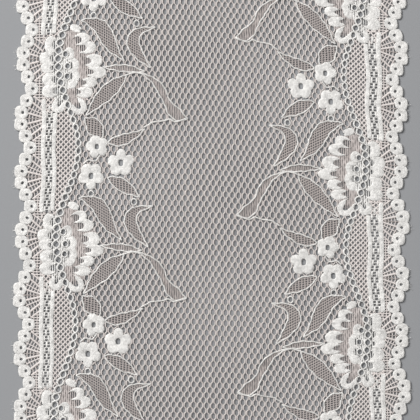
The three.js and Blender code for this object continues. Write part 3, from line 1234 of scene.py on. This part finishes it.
class LACE_OT_cords(Operator):
    """Lays the bright cords round the leaves and the bloom's eyelets, the loose cords and the small rings"""

    bl_idname = "lace.cords"
    bl_label = "Leaf cords"

    stations = 40
    rise = 0.22
    beading = 0.16
    bead_turn = 2.1
    ring_points = 15
    ring_stretch = 1.15
    ripple = 0.13
    ripple_turns = (1.9, 1.7)
    overlap = 0.1

    def execute(self, context):
        held = sizes()
        half = held["cord_width"] / 2
        runs = self.leaf_outlines()
        paths = [smooth_path(cord, self.stations) for cord in LOOSE_CORDS.values()]
        for centres, radius in ((SMALL_RINGS, SMALL_RING_RADIUS), (BLOOM_EYELETS, BLOOM_EYELET_RADIUS)):
            high = radius * self.ring_stretch
            paths += [circle(centre, radius, high, self.ring_points) for centre in centres]
        runs += [(path, [len(path)]) for path in paths]
        strands = Strands()
        for mirror, place in placements(held):
            for path, counts in runs:
                bead = half * (1 + self.beading * np.sin(np.arange(len(path)) * self.bead_turn))
                strands.add(to_band(held, path, mirror, place), CORD_Z, bead, self.rise, counts)
        piece("leaf_cords", *swept(strands), dense_yarn())
        return {"FINISHED"}

    def leaf_outlines(self):
        """Both edges of every leaf, rippled by short sine waves and left out inside other leaves."""
        share = (1 - np.cos(np.linspace(0, np.pi, self.stations))) / 2
        found = []
        for name, row in LEAVES.items():
            others = [other for label, other in LEAVES.items() if label != name]

            def outside(u, v, others=others):
                return np.minimum.reduce([leaf_field(other, u, v) for other in others]) + self.overlap

            for hand in (-1, 1):
                path = leaf_edge(row, share, hand)
                plane, counts, _, _ = kept_runs(path[None, :, 0], path[None, :, 1], outside)
                ripple = self.ripple * np.sin(plane[:, ::-1] * self.ripple_turns)
                found.append((plane + ripple, counts))
        return found


class LACE_OT_eyelet_chains(Operator):
    """Twists the two cords of each eyelet chain"""

    bl_idname = "lace.eyelet_chains"
    bl_label = "Eyelet chains"

    samples = 12
    roundness = 0.75
    narrowing = 0.19
    cord_share = 1.18
    rise = 0.23
    crossing_lift = 0.08

    def execute(self, context):
        held = sizes()
        repeat = held["repeat_length"]
        strands = Strands()
        for mirror, first in both_sides(held):
            low, high = span(held, first)
            v = np.arange(low, high, repeat / EYELETS_PER_REPEAT / self.samples)
            middle = chain_u(v, repeat)
            slope = np.gradient(middle, v)
            run = np.cumsum(np.hypot(1, slope))
            one_repeat = np.interp(low + repeat, v, run) - run[0]
            turn = np.pi * (EYELETS_PER_REPEAT * (run - np.interp(EYELET_V, v, run)) / one_repeat + 0.5)
            wide = EYELET_HALF_WIDTH + self.narrowing * np.cos(TURN * (v - CHAIN_NEAR_EDGE_V) / repeat)
            swing = np.sign(np.sin(turn)) * np.abs(np.sin(turn)) ** self.roundness
            for hand in (-1, 1):
                away = hand * wide * swing / np.hypot(1, slope)
                path = np.column_stack((middle + away, v - away * slope))
                over = CORD_Z + hand * self.crossing_lift * np.cos(turn)
                half = self.cord_share * held["cord_width"] / 2
                strands.add(to_band(held, path, mirror, first), over, half, self.rise)
        piece("eyelet_chains", *swept(strands), dense_yarn())
        return {"FINISHED"}


class LACE_OT_bars(Operator):
    """Knits the plain bars and the pierced ladder between them"""

    bl_idname = "lace.bars"
    bl_label = "Bars and ladder"

    step = 0.36
    stitch_columns = ("share", "length")
    stitches = (
        (0.06, 0.81),
        (0.03, 3.7),
    )
    wander = 0.04
    wander_length = 5.3
    profile_corners = 12
    flatness = 0.45
    bar_z = 0.36
    bar_rise = 0.26
    end_rise = 0.1
    ladder_strand = 0.84
    ladder_offset = 0.84
    ladder_z = 0.34
    ladder_rise = 0.2
    rung_points = 4
    rung_half = 0.18

    def execute(self, context):
        held = sizes()
        bars, ladder = Strands(), Strands()
        for mirror, place in placements(held):
            self.bars(held, bars, mirror, place)
            self.ladder(held, ladder, mirror, place)
        made = joined_arrays(swept(bars, self.profile_corners, self.flatness), swept(ladder))
        piece("bars", *made, dense_yarn())
        return {"FINISHED"}

    def bars(self, held, strands, mirror, place):
        """Both bars of one repeat, from above one bloom to below the next, with stitches in their edges."""
        repeat = held["repeat_length"]
        stitches = [named(self.stitch_columns, row) for row in self.stitches]
        for row in BAR_ROWS:
            bar = named(BAR_COLUMNS, row)
            v = np.arange(bar["broken_above"], repeat + bar["broken_below"] + self.step, self.step)
            stitch = 1 + sum(wave["share"] * np.sin(TURN * v / wave["length"]) for wave in stitches)
            wander = self.wander * np.sin(TURN * v / self.wander_length)
            path = np.column_stack((bar["u"] + bar_sway(v, repeat) + wander, v))
            rise = np.full(len(v), self.bar_rise)
            rise[[0, -1]] = self.end_rise
            strands.add(to_band(held, path, mirror, place), self.bar_z, bar["width"] / 2 * stitch, rise)

    def ladder(self, held, strands, mirror, place):
        """The ladder between the bars: half courses of two side strands or one in the middle, by turns.

        Rungs cross it where the half courses meet and halfway along each.
        """
        repeat = held["repeat_length"]
        outer = named(BAR_COLUMNS, BAR_ROWS[0])
        half_course = LADDER_COURSE / 2
        bottom, top = np.array((outer["broken_above"], repeat + outer["broken_below"])) / half_course
        across = np.linspace(OUTER_BAR_U, INNER_BAR_U, self.rung_points)

        def add(u, v, half):
            path = np.column_stack((u + bar_sway(v, repeat), v))
            strands.add(to_band(held, path, mirror, place), self.ladder_z, half, self.ladder_rise)

        for number in np.arange(np.ceil(bottom), np.floor(top)):
            stations = half_course * (number + np.linspace(-0.5, 0.5, 3))
            for side in (-1, 1) if number % 2 == 0 else (0,):
                add(LADDER_U + side * self.ladder_offset, stations, self.ladder_strand / 2)
            for rung in stations[1:]:
                add(across, np.full(self.rung_points, rung), self.rung_half)


def rings(rim, hole, profile, lift=0.0, closed=True):
    """Rings: a profile of (share from hole to rim, height) points carried round each hole.

    rim and hole hold matching points anticlockwise, as (ring, point, 2) arrays, and lift raises each ring.
    One that isn't closed stops at its last point, and close_ends closes its two ends.
    """
    count, around, _ = rim.shape
    share, height = np.transpose(profile)
    across = len(profile)
    plane = hole[:, :, None, :] + share[None, None, :, None] * (rim - hole)[:, :, None, :]
    height = np.broadcast_to(height, plane.shape[:3]) + np.reshape(lift, (-1, 1, 1))
    points = np.concatenate((plane, height[..., None]), axis=-1)
    number = np.arange(around if closed else around - 1)
    quads = quads_between(number * across, (number + 1) % around * across, across)
    faces = np.arange(count)[:, None, None] * around * across + quads
    return points.reshape(-1, 3), faces.reshape(-1, 4)


class LACE_OT_edge_loops(Operator):
    """Knits the round loops of both scalloped edges, with loose fibre ends at the crests"""

    bl_idname = "lace.edge_loops"
    bl_label = "Edge loops"

    around = 28
    ripple = 0.02
    ripple_lobes = 5
    roughness = 0.012
    hole_ripple = 0.1
    stagger = 0.04
    crest_share = 0.25
    whisker_count = 4
    whisker_points = 5
    whisker_root = 0.95
    whisker_lean = 0.75
    whisker_reach = (0.5, 1.7)
    whisker_bend = 0.3
    whisker_halves = (0.07, 0.03)
    whisker_z = 0.35
    profile = (
        (0.0, 0.12),
        (0.0, 0.46),
        (0.12, 0.6),
        (0.3, 0.5),
        (0.5, 0.66),
        (0.7, 0.54),
        (0.88, 0.6),
        (1.0, 0.42),
        (0.96, 0.1),
    )

    def execute(self, context):
        held = sizes()
        random = np.random.default_rng(SEED)
        repeat = held["repeat_length"]
        pitch = repeat / LOOPS_PER_REPEAT
        most = int(np.ceil(held["band_length"] / pitch))
        number = np.arange(-most, most + 1)
        angle, direction = directions(self.around)
        rims, holes = [], []
        whiskers = Strands()
        for mirror, first in both_sides(held):
            v = TROUGH_V + number * pitch
            across = scallop_u(v, repeat)
            centres = to_band(held, np.column_stack((across, v)), mirror, first)
            near = np.abs(centres[:, 1]) < held["band_length"] / 2 + LOOP_OUT
            centres, across = centres[near], across[near]
            crests = across < CREST_U + SCALLOP_DEPTH * self.crest_share + EDGE_SWAY
            self.whiskers(random, whiskers, centres[crests], mirror)
            outwards = np.pi - angle if mirror > 0 else angle
            start = random.uniform(0, TURN, (len(centres), 1))
            uneven = self.ripple * np.sin(angle * self.ripple_lobes + start)
            uneven += self.roughness * random.standard_normal((len(centres), self.around))
            reach = loop_reach(outwards) * (1 + uneven)
            oval = np.sin(2 * angle + random.uniform(0, TURN, (len(centres), 1)))
            eye = LOOP_HOLE * (1 + self.hole_ripple * oval)
            rims.append(centres[:, None, :] + reach[:, :, None] * direction)
            holes.append(centres[:, None, :] + eye[:, :, None] * direction)
        lift = self.stagger * (np.arange(sum(len(part) for part in rims)) % 2)
        loops = rings(np.vstack(rims), np.vstack(holes), self.profile, lift)
        piece("edge_loops", *joined_arrays(loops, swept(whiskers)), dense_yarn())
        return {"FINISHED"}

    def whiskers(self, random, strands, crests, mirror):
        """A few loose fibre ends out from each crest loop, at random leans and lengths."""
        t = np.linspace(0, 1, self.whisker_points)[:, None]
        half = np.linspace(*self.whisker_halves, self.whisker_points)
        for centre in np.repeat(crests, self.whisker_count, axis=0):
            lean = random.uniform(-self.whisker_lean, self.whisker_lean)
            reach = random.uniform(*self.whisker_reach)
            out = np.array((-mirror * np.cos(lean), np.sin(lean)))
            bend = random.uniform(-self.whisker_bend, self.whisker_bend) * np.array((-out[1], out[0]))
            path = centre + out * (LOOP_OUT * self.whisker_root + reach * t) + bend * t**2
            strands.add(path, self.whisker_z, half, half)


class LACE_OT_small_flowers(Operator):
    """Knits the small five-petalled flowers, each round an oblong eye"""

    bl_idname = "lace.small_flowers"
    bl_label = "Small flowers"

    around = 60
    roughness = 0.015
    eye_squareness = 3.0
    profile = (
        (0.0, 0.08),
        (0.0, 0.48),
        (0.1, 0.62),
        (0.3, 0.66),
        (0.5, 0.7),
        (0.7, 0.7),
        (0.88, 0.62),
        (0.97, 0.46),
        (1.0, 0.3),
        (0.98, 0.08),
    )

    def execute(self, context):
        held = sizes()
        random = np.random.default_rng(SEED + 1)
        angle, direction = directions(self.around)
        eye = np.abs(direction / (EYE_HALF_WIDTH, EYE_HALF_HEIGHT)) ** self.eye_squareness
        eye = eye.sum(axis=1) ** (-1 / self.eye_squareness)
        rims, holes = [], []
        for mirror, place in placements(held):
            for row in SMALL_FLOWERS:
                flower = named(FLOWER_COLUMNS, row)
                at = to_band(held, np.array([(flower["u"], flower["v"])]), mirror, place)
                turn = flower["turn"] if mirror > 0 else 180 - flower["turn"]
                reach = petal_reach(angle, np.radians(turn))
                reach = reach + self.roughness * random.standard_normal(self.around)
                rims.append(at + (flower["radius"] * reach)[:, None] * direction)
                holes.append(at + (eye * flower["radius"] / FULL_EYE_RADIUS)[:, None] * direction)
        piece("small_flowers", *rings(np.array(rims), np.array(holes), self.profile), dense_yarn())
        return {"FINISHED"}


class LACE_OT_blooms(Operator):
    """Knits the closely worked petals of the large blooms"""

    bl_idname = "lace.blooms"
    bl_label = "Bloom petals"

    around = 44
    roughness = 0.02
    overlap_lift = 0.035
    overlap_layers = 3
    inner_drop = 0.1
    profile = (
        (0.0, 0.1),
        (0.0, 0.4),
        (0.12, 0.52),
        (0.4, 0.58),
        (0.7, 0.56),
        (0.9, 0.47),
        (1.0, 0.3),
        (0.99, 0.1),
    )

    def execute(self, context):
        held = sizes()
        random = np.random.default_rng(SEED + 2)
        angle = np.linspace(-RIM_REACH, RIM_REACH, self.around)
        rims, insides, lifts = [], [], []
        for mirror, place in placements(held):
            for number, (name, row) in enumerate(PETALS.items()):
                rim, inside = petal_rims(row, mirror * angle)
                uneven = 1 + self.roughness * random.standard_normal((self.around, 1))
                middle = inside.mean(axis=0)
                rims.append(to_band(held, middle + (rim - middle) * uneven, mirror, place))
                insides.append(to_band(held, inside, mirror, place))
                drop = self.inner_drop if name.startswith("inner") else 0
                lifts.append(self.overlap_lift * (number % self.overlap_layers) - drop)
        made = rings(np.array(rims), np.array(insides), self.profile, lifts, closed=False)
        piece("bloom_petals", *made, dense_yarn())
        return {"FINISHED"}


class LACE_OT_stage(Operator):
    """Sets the pale floor, soft studio light and the camera straight above the lace"""

    bl_idname = "lace.stage"
    bl_label = "Stage"

    frame_width = 0.1596
    lens = 135.0
    sensor = 36.0
    centre_x = -0.0006
    floor_reach = 3.0
    floor_roughness = 0.9
    world_strength = 0.15
    light_columns = ("name", "place", "size", "power")
    lights = (
        ("key light", (-1.0, 0.78, 1.0), 0.78, 32.5),
        ("fill light", (1.1, -0.55, 1.32), 1.54, 8.3),
    )

    def execute(self, context):
        self.floor(context)
        self.light(context)
        self.camera(context)
        return {"FINISHED"}

    def floor(self, context):
        """A plain square floor."""
        reach = self.floor_reach
        corners = [(-reach, -reach, 0), (reach, -reach, 0), (reach, reach, 0), (-reach, reach, 0)]
        mesh = bpy.data.meshes.new("floor")
        mesh.from_pydata(corners, [], [(0, 1, 2, 3)])
        material = bpy.data.materials.new("floor")
        material.use_nodes = True
        shader = material.node_tree.nodes["Principled BSDF"]
        shader.inputs["Base Color"].default_value = (*context.scene.lace_colours.floor, 1)
        shader.inputs["Roughness"].default_value = self.floor_roughness
        mesh.materials.append(material)
        floor = bpy.data.objects.new("floor", mesh)
        context.scene.collection.objects.link(floor)

    def light(self, context):
        """Two soft area lights aimed at the lace, and an even white world."""
        scene = context.scene
        for row in self.lights:
            light = named(self.light_columns, row)
            lamp = bpy.data.lights.new(light["name"], "AREA")
            lamp.size = light["size"]
            lamp.energy = light["power"]
            held = bpy.data.objects.new(light["name"], lamp)
            held.location = light["place"]
            aim = -held.location
            held.rotation_euler = aim.to_track_quat("-Z", "Y").to_euler()
            scene.collection.objects.link(held)
        world = bpy.data.worlds.new("studio")
        world.use_nodes = True
        sky = world.node_tree.nodes["Background"]
        sky.inputs["Color"].default_value = (1, 1, 1, 1)
        sky.inputs["Strength"].default_value = self.world_strength
        scene.world = world
        scene.view_settings.view_transform = "Standard"

    def camera(self, context):
        """A long lens straight above, framed to frame_width on the floor."""
        lens = bpy.data.cameras.new("camera")
        lens.lens = self.lens
        lens.sensor_width = self.sensor
        held = bpy.data.objects.new("camera", lens)
        held.location = (self.centre_x, 0, self.frame_width * self.lens / self.sensor)
        context.scene.collection.objects.link(held)
        context.scene.camera = held


class LACE_PT_panel(Panel):
    """Lists the lace's pieces and sizes"""

    bl_idname = "LACE_PT_panel"
    bl_label = "Stretch lace band"
    bl_space_type = "VIEW_3D"
    bl_region_type = "UI"
    bl_category = "Lace"

    def draw(self, context):
        for name in LaceSizes.__annotations__:
            self.layout.prop(context.scene.lace_sizes, name)
        for name in LaceColours.__annotations__:
            self.layout.prop(context.scene.lace_colours, name)
        for operator in OPERATORS:
            self.layout.operator(operator.bl_idname)


OPERATORS = (
    LACE_OT_side_nets,
    LACE_OT_leaf_fill,
    LACE_OT_cords,
    LACE_OT_eyelet_chains,
    LACE_OT_bars,
    LACE_OT_edge_loops,
    LACE_OT_small_flowers,
    LACE_OT_blooms,
    LACE_OT_ground_net,
    LACE_OT_stage,
)
CLASSES = (LaceSizes, LaceColours, *OPERATORS, LACE_PT_panel)


def register():
    """Registers the classes and hangs the properties on the scene."""
    for kind in CLASSES:
        bpy.utils.register_class(kind)
    bpy.types.Scene.lace_sizes = PointerProperty(type=LaceSizes)
    bpy.types.Scene.lace_colours = PointerProperty(type=LaceColours)


def unregister():
    """Undoes register."""
    del bpy.types.Scene.lace_colours
    del bpy.types.Scene.lace_sizes
    for kind in reversed(CLASSES):
        bpy.utils.unregister_class(kind)


def main():
    """Makes every piece and the stage."""
    register()
    for operator in OPERATORS:
        group, name = operator.bl_idname.split(".")
        getattr(getattr(bpy.ops, group), name)()


if __name__ == "__main__":
    main()
